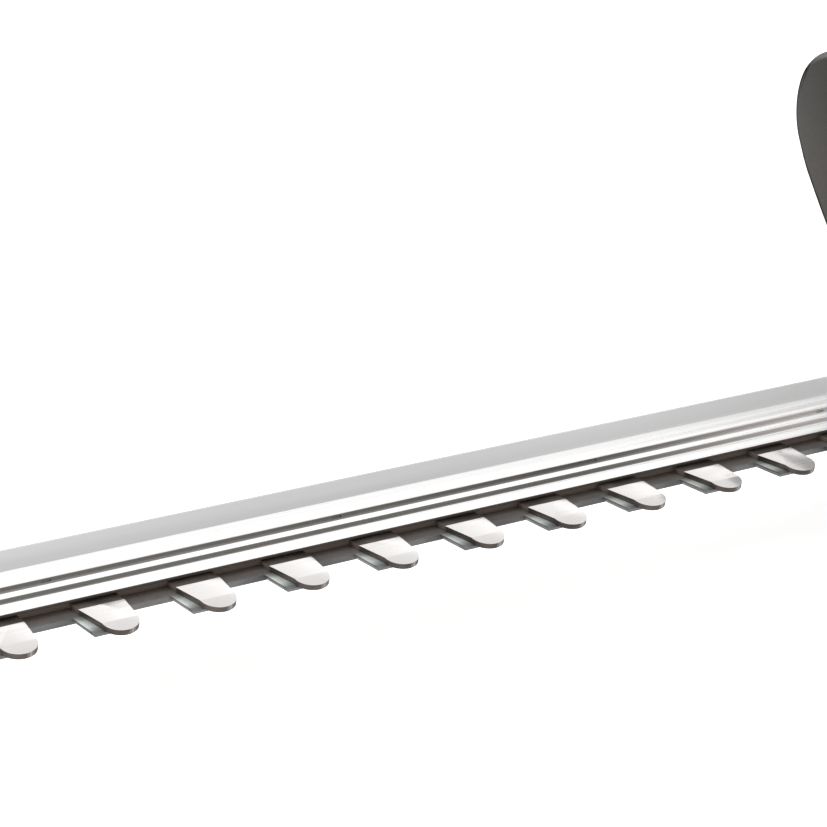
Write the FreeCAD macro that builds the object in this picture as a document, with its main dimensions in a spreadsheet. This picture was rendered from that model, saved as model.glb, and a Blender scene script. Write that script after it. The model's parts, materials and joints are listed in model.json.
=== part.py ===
"""Single-sided cordless hedge trimmer, as an assembly of separate named pieces.

Frame: +X runs along the cutter bar towards the handles, the teeth point to -Y and
+Z is up. The origin is on the face that the foot stands on, under the crank axis.
All sizes are in millimetres.
"""
import FreeCAD, Part
import math
import os
import re
import Sketcher

doc = FreeCAD.newDocument("hedge_trimmer")
V = FreeCAD.Vector

# ---------------------------------------------------------------- driving sizes
SIZES = {
    # cutter bar
    "tooth_pitch": 30.0,
    "tooth_count": 18,
    "first_tooth_x": -70.0,
    "comb_top": 34.0,
    "comb_thick": 1.7,
    "blade_gap": 0.1,
    "blade_thick": 1.7,
    "bar_tail_x": -38.0,
    "bar_tip_x": -620.0,
    "strip_back_y": 13.0,
    "comb_strip_front_y": -15.0,
    "comb_ground_y": -20.8,
    "comb_bend_y": -32.9,
    "comb_root_half": 7.0,
    "comb_bend_half": 5.4,
    "comb_tip_angle": 12.0,
    "blade_front_y": -22.1,
    "blade_end_y": -34.4,
    "blade_relief_y": -32.5,
    "blade_relief_slope": 0.29,
    "blade_tip_x": -592.0,
    "blade_land": 0.3,
    "blade_bevel_angle": 38.0,
    # cover rail
    "rail_height": 1.6,
    "rail_lip_y": -17.0,
    "rail_lip_thick": 0.7,
    "rail_step_y": -11.2,
    "rail_fold_y": 11.5,
    "rail_back_y": 17.6,
    "rail_back_wall": 2.0,
    "rail_flange_top": 39.8,
    "rail_flange_flat": 1.1,
    "rail_skirt_z": 28.0,
    "groove_depth": 1.2,
    "support_thick": 3.0,
    "support_front_y": -9.0,
    # studs that hold the stack together
    "stud_x": -92.0,
    "stud_y": 5.0,
    "stud_pitch": 95.0,
    "stud_count": 6,
    "stud_radius": 2.5,
    "sleeve_radius": 3.9,
    "slot_end_room": 1.0,
    "root_screw_x": -50.0,
    # crank drive
    "stroke": 25.0,
    "roller_radius": 6.0,
    "yoke_room": 2.85,
    "gear_module": 1.25,
    "gear_teeth": 48,
    "pinion_teeth": 12,
    "gear_bottom": 35.0,
    "gear_thick": 8.0,
    "running_gap": 0.05,
    # gearbox
    "box_radius": 45.0,
    "box_rear_radius": 27.0,
    "box_nose_x": -60.0,
    "box_nose_half": 28.0,
    "foot_thick": 8.0,
    "box_top": 54.0,
    # motor
    "motor_radius": 21.0,
    "motor_bottom": 57.0,
    "motor_top": 107.0,
    "motor_wall": 1.6,
    # housing
    "shell_wall": 2.5,
    "shell_front_x": -44.0,
    "shell_base": 54.5,
    "body_half": 36.0,
    "grip_half": 17.0,
    "dock_half": 37.0,
    "shell_round": 5.0,
    # guard
    "guard_bend_radius": 300.0,
    "guard_thick": 4.0,
    "guard_face_x": -50.7,
    # front handle
    "bail_x": 24.0,
    "bail_half": 60.0,
    "bail_arc_z": 132.0,
    "bail_radius": 11.0,
    "bail_boss_z": 72.0,
    # battery
    "pack_front_x": 216.0,
    "pack_rear_x": 312.0,
    "pack_half": 36.0,
    "pack_top": 50.0,
    "pack_wall": 2.2,
    "cell_radius": 9.0,
    "cell_length": 65.0,
    "cell_count": 5,
    # trigger
    "trigger_pivot_x": 140.0,
    "trigger_pivot_z": 112.0,
}

sheet = doc.addObject("Spreadsheet::Sheet", "sizes")
for row, (alias, value) in enumerate(SIZES.items(), start=1):
    sheet.set("A%d" % row, alias)
    sheet.set("B%d" % row, str(value))
    sheet.setAlias("B%d" % row, alias)
doc.recompute()

NODES = []


def linked(expression):
    """Write an expression of size names the way the document's objects refer to them."""
    return re.sub(r"[a-z][a-z0-9_]+", lambda word: name_of(word.group(0)), str(expression))


def name_of(word):
    return "sizes." + word if word in SIZES else word


def number(expression):
    """The present value of an expression of size names."""
    value = sheet.evalExpression(linked(expression))
    return float(getattr(value, "Value", value))


def bind(thing, prop, expression):
    thing.setExpression(prop, linked(expression))


def keep(thing, label):
    """Register a document object as a node of the assembly."""
    thing.Label = label
    NODES.append(thing)
    return thing


# ---------------------------------------------------------------- sketch and feature helpers
def new_body(label):
    body = doc.addObject("PartDesign::Body", label)
    return keep(body, label)


def new_sketch(body, plane, offset="0", tilt=None):
    """A sketch on one of the body's origin planes, moved along the plane's normal."""
    sketch = body.newObject("Sketcher::SketchObject", body.Name + "_sketch")
    support = [item for item in body.Origin.OriginFeatures if item.Role == plane][0]
    sketch.AttachmentSupport = (support, [""])
    sketch.MapMode = "FlatFace"
    if tilt:
        shift, angle = tilt
        sketch.AttachmentOffset = FreeCAD.Placement(
            V(0, number(shift), number(offset)), FreeCAD.Rotation(V(1, 0, 0), number(angle)))
        bind(sketch, "AttachmentOffset.Base.y", shift)
    else:
        sketch.AttachmentOffset = FreeCAD.Placement(V(0, 0, number(offset)), FreeCAD.Rotation())
    bind(sketch, "AttachmentOffset.Base.z", offset)
    return sketch


def pin_point(sketch, geometry, end, place):
    """Hold one end of a sketch element at a place given as two expressions."""
    for kind, expression in zip(("DistanceX", "DistanceY"), place):
        rule = sketch.addConstraint(
            Sketcher.Constraint(kind, -1, 1, geometry, end, number(expression)))
        bind(sketch, "Constraints[%d]" % rule, expression)


def add_polygon(sketch, points):
    """A closed outline of straight lines through points given as expressions."""
    places = [V(number(a), number(b), 0) for a, b in points]
    lines = []
    for index, start in enumerate(places):
        finish = places[(index + 1) % len(places)]
        lines.append(sketch.addGeometry(Part.LineSegment(start, finish), False))
    for index, line in enumerate(lines):
        following = lines[(index + 1) % len(lines)]
        sketch.addConstraint(Sketcher.Constraint("Coincident", line, 2, following, 1))
        pin_point(sketch, line, 1, points[index])
    return lines


def rectangle(x_low, x_high, y_low, y_high):
    return [(x_low, y_low), (x_high, y_low), (x_high, y_high), (x_low, y_high)]


def add_circle(sketch, x, y, radius):
    circle = Part.Circle(V(number(x), number(y), 0), V(0, 0, 1), number(radius))
    ring = sketch.addGeometry(circle, False)
    pin_point(sketch, ring, 3, (x, y))
    rule = sketch.addConstraint(Sketcher.Constraint("Radius", ring, number(radius)))
    bind(sketch, "Constraints[%d]" % rule, radius)


def add_slot(sketch, x_low, x_high, y, radius):
    """A slot along X with round ends whose centres are at x_low and x_high."""
    low = V(number(x_low), number(y), 0)
    high = V(number(x_high), number(y), 0)
    size = number(radius)
    quarter = math.pi / 2
    up = V(0, size, 0)
    low_arc = sketch.addGeometry(
        Part.ArcOfCircle(Part.Circle(low, V(0, 0, 1), size), quarter, 3 * quarter), False)
    base = sketch.addGeometry(Part.LineSegment(low - up, high - up), False)
    high_arc = sketch.addGeometry(
        Part.ArcOfCircle(Part.Circle(high, V(0, 0, 1), size), -quarter, quarter), False)
    top = sketch.addGeometry(Part.LineSegment(high + up, low + up), False)
    ring = [(low_arc, 2, base, 1), (base, 2, high_arc, 1), (high_arc, 2, top, 1), (top, 2, low_arc, 1)]
    for first, end, second, start in ring:
        sketch.addConstraint(Sketcher.Constraint("Tangent", first, end, second, start))
    sketch.addConstraint(Sketcher.Constraint("Equal", low_arc, high_arc))
    pin_point(sketch, low_arc, 3, (x_low, y))
    pin_point(sketch, high_arc, 3, (x_high, y))
    rule = sketch.addConstraint(Sketcher.Constraint("Radius", low_arc, size))
    bind(sketch, "Constraints[%d]" % rule, radius)


def pad(body, sketch, length, backwards=False, midplane=False, taper=None):
    feature = body.newObject("PartDesign::Pad", body.Name + "_pad")
    feature.Profile = sketch
    feature.Length = number(length)
    bind(feature, "Length", length)
    feature.Reversed = backwards
    feature.Midplane = midplane
    if taper:
        feature.TaperAngle = number(taper)
        bind(feature, "TaperAngle", taper)
    doc.recompute()
    return feature


def pocket(body, sketch, length, backwards=False, midplane=False):
    """Cut a sketch out of the body, and stop if the cut removed nothing."""
    before = body.Shape.Volume
    feature = body.newObject("PartDesign::Pocket", body.Name + "_pocket")
    feature.Profile = sketch
    feature.Length = number(length)
    bind(feature, "Length", length)
    feature.Reversed = backwards
    feature.Midplane = midplane
    doc.recompute()
    if body.Shape.Volume >= before:
        raise RuntimeError("a pocket of %s cuts nothing" % body.Label)
    return feature


def pattern_along_x(body, features, pitch, count, backwards=True):
    """Repeat features along the body's X axis."""
    pattern = body.newObject("PartDesign::LinearPattern", body.Name + "_pattern")
    pattern.Originals = features
    axis = [item for item in body.Origin.OriginFeatures if item.Role == "X_Axis"][0]
    pattern.Direction = (axis, [""])
    pattern.Reversed = backwards
    pattern.Mode = "Spacing"
    pattern.Offset = number(pitch)
    bind(pattern, "Offset", pitch)
    pattern.Occurrences = int(number(count))
    bind(pattern, "Occurrences", count)
    body.Tip = pattern
    doc.recompute()
    return pattern


def edges_of(feature, test):
    """Names of the feature's edges for which test(middle point, edge) holds."""
    names = []
    for index, edge in enumerate(feature.Shape.Edges, start=1):
        middle = edge.valueAt((edge.FirstParameter + edge.LastParameter) / 2)
        if test(middle, edge):
            names.append("Edge%d" % index)
    return names


def fillet(body, base, names, radius):
    feature = body.newObject("PartDesign::Fillet", body.Name + "_fillet")
    feature.Base = (base, names)
    feature.Refine = False
    feature.Radius = number(radius)
    bind(feature, "Radius", radius)
    body.Tip = feature
    doc.recompute()
    return feature


# ---------------------------------------------------------------- primitive helpers
def cylinder(name, radius, height, x="0", y="0", z="0", along="z"):
    piece = doc.addObject("Part::Cylinder", name)
    turns = {"z": FreeCAD.Rotation(), "x": FreeCAD.Rotation(V(0, 1, 0), 90),
             "y": FreeCAD.Rotation(V(1, 0, 0), -90)}
    piece.Placement = FreeCAD.Placement(V(0, 0, 0), turns[along])
    bind(piece, "Radius", radius)
    bind(piece, "Height", height)
    place(piece, x, y, z)
    return piece


def box(name, x_low, x_high, y_low, y_high, z_low, z_high):
    piece = doc.addObject("Part::Box", name)
    bind(piece, "Length", "(%s) - (%s)" % (x_high, x_low))
    bind(piece, "Width", "(%s) - (%s)" % (y_high, y_low))
    bind(piece, "Height", "(%s) - (%s)" % (z_high, z_low))
    place(piece, x_low, y_low, z_low)
    return piece


def place(piece, x, y, z):
    bind(piece, "Placement.Base.x", x)
    bind(piece, "Placement.Base.y", y)
    bind(piece, "Placement.Base.z", z)


def fuse(name, pieces):
    whole = doc.addObject("Part::MultiFuse", name)
    whole.Shapes = pieces
    whole.Refine = True
    return whole


def cut(name, base, tools):
    tool = tools[0] if len(tools) == 1 else fuse(name + "_tools", tools)
    whole = doc.addObject("Part::Cut", name)
    whole.Base = base
    whole.Tool = tool
    whole.Refine = True
    return whole


def round_edges(name, base, radius, test):
    """Round the edges of a boolean result that pass the test."""
    doc.recompute()
    size = number(radius)
    chosen = [int(edge[4:]) for edge in edges_of(base, test)]
    whole = doc.addObject("Part::Fillet", name)
    whole.Base = base
    whole.Edges = [(index, size, size) for index in chosen]
    return whole


def turned(radius, height, bore=0.0):
    """A plain round solid on the Z axis, with or without a bore."""
    solid = Part.makeCylinder(radius, height)
    if bore:
        solid = solid.cut(Part.makeCylinder(bore, height))
    return solid


def prism(across_flats, height, bore=0.0):
    """A hexagonal prism on the Z axis."""
    corner = across_flats / math.sqrt(3)
    angles = [k * math.pi / 3 for k in range(7)]
    points = [V(corner * math.cos(angle), corner * math.sin(angle), 0) for angle in angles]
    solid = Part.Face(Part.makePolygon(points)).extrude(V(0, 0, height))
    if bore:
        solid = solid.cut(Part.makeCylinder(bore, height))
    return solid


def screw(head_radius, head_height, shank_radius, shank_length, key=None):
    """A socket screw: head above Z 0, shank below it."""
    head = Part.makeCylinder(head_radius, head_height)
    rim = [edge for edge in head.Edges if abs(edge.CenterOfMass.z - head_height) < 0.01]
    head = head.makeFillet(head_height * 0.3, rim)
    shank = Part.makeCylinder(shank_radius, shank_length, V(0, 0, -shank_length))
    solid = head.fuse(shank).removeSplitter()
    width = key or head_radius
    socket = prism(width, head_height * 0.6)
    socket.translate(V(0, 0, head_height * 0.4 + 0.01))
    return solid.cut(socket)


def group(label, solid, places, direction=V(0, 0, 1)):
    """One node of identical loose pieces, each a separate solid."""
    turn = FreeCAD.Rotation(V(0, 0, 1), direction)
    copies = []
    for x, y, z in places:
        copy = solid.copy()
        copy.Placement = FreeCAD.Placement(V(x, y, z), turn)
        copies.append(copy)
    feature = doc.addObject("Part::Feature", label)
    feature.Shape = Part.makeCompound(copies)
    feature.Placement = FreeCAD.Placement()
    return keep(feature, label)


def from_shape(label, shape, x=0.0, y=0.0, z=0.0):
    """One node from a shape built about its own origin, put at a place."""
    feature = doc.addObject("Part::Feature", label)
    feature.Shape = shape
    feature.Placement = FreeCAD.Placement(V(x, y, z), FreeCAD.Rotation())
    return keep(feature, label)


# ---------------------------------------------------------------- heights of the cutter stack
COMB_UNDER = "comb_top - comb_thick"
BLADE_TOP = "comb_top - comb_thick - blade_gap"
BLADE_UNDER = "comb_top - comb_thick - blade_gap - blade_thick"
SUPPORT_TOP = "comb_top - comb_thick - 2 * blade_gap - blade_thick"
SUPPORT_UNDER = "comb_top - comb_thick - 2 * blade_gap - blade_thick - support_thick"
RAIL_TOP = "comb_top + rail_height"
STUDS = [number("stud_x") - k * number("stud_pitch") for k in range(int(SIZES["stud_count"]))]
ROOT_ROWS = ["-5", "7"]


# ---------------------------------------------------------------- cutter bar
def cover_rail():
    """Aluminium cover: grooved flat top, thin front lip and a raised, folded back flange."""
    body = new_body("cover_rail")
    profile = new_sketch(body, "YZ_Plane", "bar_tip_x")
    groove_floor = "comb_top + rail_height - groove_depth"
    inner_back = "rail_back_y - rail_back_wall"
    add_polygon(profile, [
        ("rail_lip_y", RAIL_TOP),
        ("rail_lip_y", RAIL_TOP + " - rail_lip_thick"),
        ("rail_step_y", RAIL_TOP + " - rail_lip_thick"),
        ("rail_step_y", "comb_top"),
        (inner_back, "comb_top"),
        (inner_back, "rail_skirt_z"),
        ("rail_back_y", "rail_skirt_z"),
        ("rail_back_y", "rail_flange_top"),
        ("rail_back_y - rail_flange_flat", "rail_flange_top"),
        ("rail_fold_y + 1.6", RAIL_TOP + " + 0.75"),
        ("rail_fold_y", RAIL_TOP),
        ("1.2", RAIL_TOP),
        ("1.2", groove_floor),
        ("-3.2", groove_floor),
        ("-3.2", RAIL_TOP),
        ("-6.6", RAIL_TOP),
        ("-6.6", groove_floor),
        ("-10.3", groove_floor),
        ("-10.3", RAIL_TOP),
    ])
    pad(body, profile, "bar_tail_x - bar_tip_x")
    heads = new_sketch(body, "XY_Plane", "comb_top")
    add_circle(heads, "stud_x", "stud_y", "sleeve_radius + 0.2")
    recess = pocket(body, heads, "0.9", backwards=True)
    pattern_along_x(body, [recess], "stud_pitch", "stud_count")
    roots = new_sketch(body, "XY_Plane", "comb_top - 8")
    for y in ROOT_ROWS:
        add_circle(roots, "root_screw_x", y, "stud_radius + 0.2")
    pocket(body, roots, "14", backwards=True)


def rail_seal():
    """Dark strip that closes the gap between the lip and the comb."""
    box("rail_seal", "bar_tip_x", "bar_tail_x", "rail_lip_y + 1.5", "rail_step_y - 0.1",
        "comb_top", RAIL_TOP + " - rail_lip_thick")
    keep(doc.getObject("rail_seal"), "rail_seal")


def guard_comb():
    """Fixed comb: a strip with blunt teeth whose rounded ends are bent down."""
    body = new_body("guard_comb")
    strip = new_sketch(body, "XY_Plane", "comb_top")
    add_polygon(strip, rectangle("bar_tip_x", "bar_tail_x", "comb_strip_front_y", "strip_back_y"))
    pad(body, strip, "comb_thick", backwards=True)
    tooth = new_sketch(body, "XY_Plane", "comb_top")
    add_polygon(tooth, [
        ("first_tooth_x - comb_root_half", "comb_strip_front_y + 1"),
        ("first_tooth_x - comb_root_half", "comb_ground_y"),
        ("first_tooth_x - comb_bend_half", "comb_bend_y"),
        ("first_tooth_x + comb_bend_half", "comb_bend_y"),
        ("first_tooth_x + comb_root_half", "comb_ground_y"),
        ("first_tooth_x + comb_root_half", "comb_strip_front_y + 1"),
    ])
    flat = pad(body, tooth, "comb_thick", backwards=True)
    tip = new_sketch(body, "XY_Plane", "comb_top", tilt=("comb_bend_y", "comb_tip_angle"))
    add_slot_end(tip, "first_tooth_x", "comb_bend_half")
    bent = pad(body, tip, "comb_thick", backwards=True)
    pattern_along_x(body, [flat, bent], "tooth_pitch", "tooth_count")
    drill_bar(body, "comb_top")


def add_slot_end(sketch, x, half):
    """Half a disc that hangs from the line y = 0, with its centre on that line."""
    centre = V(number(x), 0, 0)
    size = number(half)
    arc = sketch.addGeometry(
        Part.ArcOfCircle(Part.Circle(centre, V(0, 0, 1), size), math.pi, 2 * math.pi), False)
    chord = sketch.addGeometry(Part.LineSegment(centre + V(size, 0, 0), centre - V(size, 0, 0)), False)
    sketch.addConstraint(Sketcher.Constraint("Coincident", arc, 2, chord, 1))
    sketch.addConstraint(Sketcher.Constraint("Coincident", arc, 1, chord, 2))
    sketch.addConstraint(Sketcher.Constraint("PointOnObject", arc, 1, -1))
    sketch.addConstraint(Sketcher.Constraint("PointOnObject", arc, 2, -1))
    sketch.addConstraint(Sketcher.Constraint("PointOnObject", arc, 3, -1))
    rule = sketch.addConstraint(Sketcher.Constraint("DistanceX", -1, 1, arc, 3, number(x)))
    bind(sketch, "Constraints[%d]" % rule, x)
    rule = sketch.addConstraint(Sketcher.Constraint("Radius", arc, size))
    bind(sketch, "Constraints[%d]" % rule, half)


def drill_bar(body, level):
    """Stud holes along the bar and two root screw holes, from a level downwards."""
    hole = new_sketch(body, "XY_Plane", level)
    add_circle(hole, "stud_x", "stud_y", "stud_radius + 0.1")
    drilled = pocket(body, hole, "6")
    pattern_along_x(body, [drilled], "stud_pitch", "stud_count")
    roots = new_sketch(body, "XY_Plane", level)
    for y in ROOT_ROWS:
        add_circle(roots, "root_screw_x", y, "stud_radius + 0.1")
    pocket(body, roots, "6")


def cutter_blade():
    """Sliding blade: teeth bevelled below and relieved at their ends, guide slots and the crank's yoke."""
    body = new_body("cutter_blade")
    strip = new_sketch(body, "XY_Plane", BLADE_TOP)
    add_polygon(strip, [
        ("blade_tip_x", "blade_front_y"),
        ("-2", "blade_front_y"),
        ("-2", "-24"),
        ("27", "-24"),
        ("27", "24"),
        ("-2", "24"),
        ("-2", "strip_back_y"),
        ("blade_tip_x", "strip_back_y"),
    ])
    pad(body, strip, "blade_thick", backwards=True)
    outline = [
        ("first_tooth_x - 9.6", "blade_front_y + 0.5"),
        ("first_tooth_x - 9.6", "blade_front_y"),
        ("first_tooth_x - 8.9", "blade_end_y"),
        ("first_tooth_x + 3.7", "blade_end_y"),
        ("first_tooth_x + 4.4", "blade_front_y"),
        ("first_tooth_x + 4.4", "blade_front_y + 0.5"),
    ]
    top = new_sketch(body, "XY_Plane", BLADE_TOP)
    add_polygon(top, outline)
    land = pad(body, top, "blade_land", backwards=True)
    lower = new_sketch(body, "XY_Plane", BLADE_TOP + " - blade_land")
    add_polygon(lower, outline)
    bevel = pad(body, lower, "blade_thick - blade_land", backwards=True, taper="-blade_bevel_angle")
    pattern_along_x(body, [land, bevel], "tooth_pitch", "tooth_count")
    relief = new_sketch(body, "YZ_Plane", "blade_tip_x - 1")
    reach = "(blade_relief_y - blade_end_y + 2)"
    add_polygon(relief, [
        ("blade_relief_y", BLADE_TOP),
        ("blade_end_y - 2", BLADE_TOP),
        ("blade_end_y - 2", BLADE_TOP + " - blade_relief_slope * " + reach),
    ])
    pocket(body, relief, "bar_tail_x - blade_tip_x", backwards=True)
    slots = new_sketch(body, "XY_Plane", BLADE_TOP)
    guide = "sleeve_radius + 0.1"
    add_slot(slots, "stud_x - slot_end_room", "stud_x + stroke + slot_end_room", "stud_y", guide)
    slot = pocket(body, slots, "blade_thick")
    pattern_along_x(body, [slot], "stud_pitch", "stud_count")
    roots = new_sketch(body, "XY_Plane", BLADE_TOP)
    for y in ROOT_ROWS:
        add_slot(roots, "root_screw_x - slot_end_room", "root_screw_x + stroke + slot_end_room", y, guide)
    pocket(body, roots, "blade_thick")
    yoke = new_sketch(body, "XY_Plane", BLADE_TOP)
    half = "roller_radius + yoke_room"
    swing = "stroke / 2 + roller_radius + 0.75"
    add_polygon(yoke, rectangle("stroke / 2 - (%s)" % half, "stroke / 2 + " + half, "-(%s)" % swing, swing))
    pocket(body, yoke, "blade_thick")


def support_bar():
    """Steel bar under the sliding blade."""
    body = new_body("support_bar")
    plan = new_sketch(body, "XY_Plane", SUPPORT_TOP)
    add_polygon(plan, rectangle("bar_tip_x", "bar_tail_x", "support_front_y", "strip_back_y"))
    pad(body, plan, "support_thick", backwards=True)
    drill_bar(body, SUPPORT_TOP)
    holes = new_sketch(body, "XY_Plane", SUPPORT_TOP)
    for x in ("bar_tip_x + 8", "bar_tip_x + 18"):
        add_circle(holes, x, "-2", "1.6")
    pocket(body, holes, "support_thick")


def bar_fasteners():
    """Pressed studs, sleeves in the blade's slots, washers and nuts along the bar."""
    stud_y = number("stud_y")
    top = number("comb_top")
    nut_face = number(SUPPORT_UNDER)
    radius = number("stud_radius")
    stud = turned(number("sleeve_radius"), 0.8)
    length = top - nut_face + 6.5
    stud = stud.fuse(Part.makeCylinder(radius, length, V(0, 0, -length)))
    group("bar_studs", stud, [(x, stud_y, top) for x in STUDS])
    root_x = number("root_screw_x")
    rows = [number(y) for y in ROOT_ROWS]
    sleeve_low = number(SUPPORT_TOP)
    sleeve = turned(number("sleeve_radius"), number(COMB_UNDER) - sleeve_low, radius + 0.02)
    places = [(x, stud_y, sleeve_low) for x in STUDS] + [(root_x, y, sleeve_low) for y in rows]
    group("spacer_sleeves", sleeve, places)
    washer = turned(5.0, 1.0, radius + 0.1)
    group("bar_washers", washer, [(x, stud_y, nut_face - 1.0) for x in STUDS])
    nut = prism(8.0, 4.6, radius)
    rim = [edge for edge in nut.Edges if edge.CenterOfMass.z < 0.01 and edge.Length > 3 and edge.Length < 6]
    nut = nut.makeChamfer(0.5, rim)
    group("bar_nuts", nut, [(x, stud_y, nut_face - 5.6) for x in STUDS])


def tip_protector():
    """Blunt end block with a hole to hang the trimmer by, on a tongue under the bar."""
    body = new_body("tip_protector")
    block = new_sketch(body, "XY_Plane", "24")
    add_polygon(block, [
        ("bar_tip_x - 1", "-40"),
        ("bar_tip_x - 1", "20"),
        ("bar_tip_x - 14", "24"),
        ("bar_tip_x - 30", "14"),
        ("bar_tip_x - 30", "-18"),
        ("bar_tip_x - 16", "-40"),
    ])
    base = pad(body, block, "18")
    upright = edges_of(base, lambda p, e: abs(p.z - 33) < 0.1 and p.x < number("bar_tip_x") - 2)
    rounded = fillet(body, base, upright, "5")
    rims = edges_of(rounded, lambda p, e: abs(p.z - 33) > 8.9 and p.x < number("bar_tip_x") - 1.1)
    fillet(body, rounded, rims, "2")
    tongue = new_sketch(body, "XY_Plane", "24")
    add_polygon(tongue, rectangle("bar_tip_x - 3", "bar_tip_x + 24", "-8", "strip_back_y"))
    pad(body, tongue, SUPPORT_UNDER + " - 24")
    holes = new_sketch(body, "XY_Plane", "24")
    for x in ("bar_tip_x + 8", "bar_tip_x + 18"):
        add_circle(holes, x, "-2", "1.7")
    pocket(body, holes, "10", backwards=True)
    hang = new_sketch(body, "XY_Plane", "24")
    add_circle(hang, "bar_tip_x - 17", "-6", "4.2")
    pocket(body, hang, "18", backwards=True)
    fixing = screw(2.8, 1.8, 1.58, 6.0)
    tip_x = number("bar_tip_x")
    group("tip_screws", fixing, [(tip_x + dx, -2, 24) for dx in (8, 18)], V(0, 0, -1))


# ---------------------------------------------------------------- gearbox and drive
GEAR_X = "(gear_teeth + pinion_teeth) * gear_module / 2"
BOX_SCREW_ANGLES = [math.radians(angle) for angle in (65, 115, 245, 295)]
BOX_SCREWS = [(39.5 * math.cos(angle), 39.5 * math.sin(angle)) for angle in BOX_SCREW_ANGLES]


def screw_holes(name, radius, length, level):
    """Cylinders that cut the four upright screw holes of the gearbox."""
    return [cylinder("%s_%d" % (name, k), radius, length, str(round(x, 3)), str(round(y, 3)), level)
            for k, (x, y) in enumerate(BOX_SCREWS)]


def gearbox():
    """Cast base and cover around the crank, with a rubber foot under the base."""
    ends = ("box_nose_x - 1", "bar_tail_x + 7")
    back = "rail_back_y + 0.4"
    base_low = "foot_thick"
    top = "comb_top + 1"
    lower = fuse("base_outer", [
        cylinder("base_round", "box_radius", "comb_top - (%s)" % base_low, z=base_low),
        cylinder("base_rear", "box_rear_radius", "comb_top - (%s)" % base_low, x=GEAR_X, z=base_low),
        box("base_nose", "box_nose_x", "0", "-box_nose_half", "box_nose_half", "16", "comb_top"),
    ])
    base = cut("base_cast", lower, [
        box("base_yoke_room", "-32", "32", "-26.5", "26.5", "24", top),
        box("base_channel", *ends, "-24", back, SUPPORT_UNDER, top),
        box("base_skirt_room", *ends, "strip_back_y", back, "27", top),
        *screw_holes("base_screw_hole", "2.1", "30", "7"),
        *[cylinder("base_root_hole", "stud_radius + 0.1", "30", "root_screw_x", y, "10")
          for y in ROOT_ROWS],
    ])
    outer_low = round_edges("gearbox_base", base, "2.5",
                            lambda p, e: abs(p.z - number(base_low)) < 0.01 and e.Length > 20)
    keep(outer_low, "gearbox_base")
    upper = fuse("cover_outer", [
        cylinder("cover_round", "box_radius", "box_top - comb_top", z="comb_top"),
        cylinder("cover_rear", "box_rear_radius", "box_top - comb_top", x=GEAR_X, z="comb_top"),
        box("cover_nose", "box_nose_x", "0", "-box_nose_half", "box_nose_half", "comb_top", "box_top"),
    ])
    cover = cut("cover_cast", upper, [
        cylinder("gear_room", "34", "13", z="comb_top - 1"),
        cylinder("pinion_room", "11", "30", x=GEAR_X, z="comb_top - 1"),
        box("rail_room", *ends, "-24", back, "comb_top - 1", "rail_flange_top + 0.4"),
        cylinder("shaft_hole", "5", "30", z="comb_top"),
        *screw_holes("cover_screw_hole", "2.0", "13", "comb_top - 1"),
        *[cylinder("cover_root_hole", "stud_radius - 0.3", "30", "root_screw_x", y, "comb_top - 1")
          for y in ROOT_ROWS],
    ])
    outer_top = round_edges("gearbox_cover", cover, "1.5",
                            lambda p, e: abs(p.z - number("box_top")) < 0.01 and e.Length > 40)
    keep(outer_top, "gearbox_cover")
    foot = new_body("rubber_foot")
    plan = new_sketch(foot, "XY_Plane", "0")
    add_polygon(plan, rectangle("-44", "36", "-22", "22"))
    slab = pad(foot, plan, "foot_thick")
    corners = edges_of(slab, lambda p, e: abs(p.z - number("foot_thick") / 2) < 0.1)
    fillet(foot, slab, corners, "8")
    tread = new_sketch(foot, "XY_Plane", "0")
    add_polygon(tread, rectangle("24", "27", "-18", "18"))
    groove = pocket(foot, tread, "2", backwards=True)
    pattern_along_x(foot, [groove], "8.5", "8")


def involute(radius, base_radius):
    """Involute function of the pressure angle at a radius."""
    angle = math.acos(min(1.0, base_radius / radius))
    return math.tan(angle) - angle


def gear_solid(teeth, addendum, turn, thick, bore):
    """Spur gear with involute flanks and a little backlash, on the Z axis."""
    module = number("gear_module")
    pitch_radius = module * teeth / 2
    pressure = math.radians(20)
    base_radius = pitch_radius * math.cos(pressure)
    root = pitch_radius - 1.25 * module
    outer = pitch_radius + addendum * module
    backlash = 0.16
    half_pitch_angle = (math.pi * module / 2 - backlash) / (2 * pitch_radius)
    offset = half_pitch_angle + involute(pitch_radius, base_radius)
    steps = 5
    start = max(root, base_radius)
    flank = [(root, offset - involute(start, base_radius))]
    for k in range(steps):
        radius = start + (outer - start) * k / (steps - 1)
        flank.append((radius, offset - involute(radius, base_radius)))
    points = []
    for tooth in range(teeth):
        centre = 2 * math.pi * tooth / teeth + turn
        for radius, angle in flank:
            points.append((radius, centre - angle))
        for radius, angle in reversed(flank):
            points.append((radius, centre + angle))
    corners = [V(radius * math.cos(angle), radius * math.sin(angle), 0) for radius, angle in points]
    blank = Part.Face(Part.makePolygon(corners + corners[:1])).extrude(V(0, 0, thick))
    return blank.cut(Part.makeCylinder(bore, thick))


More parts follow.
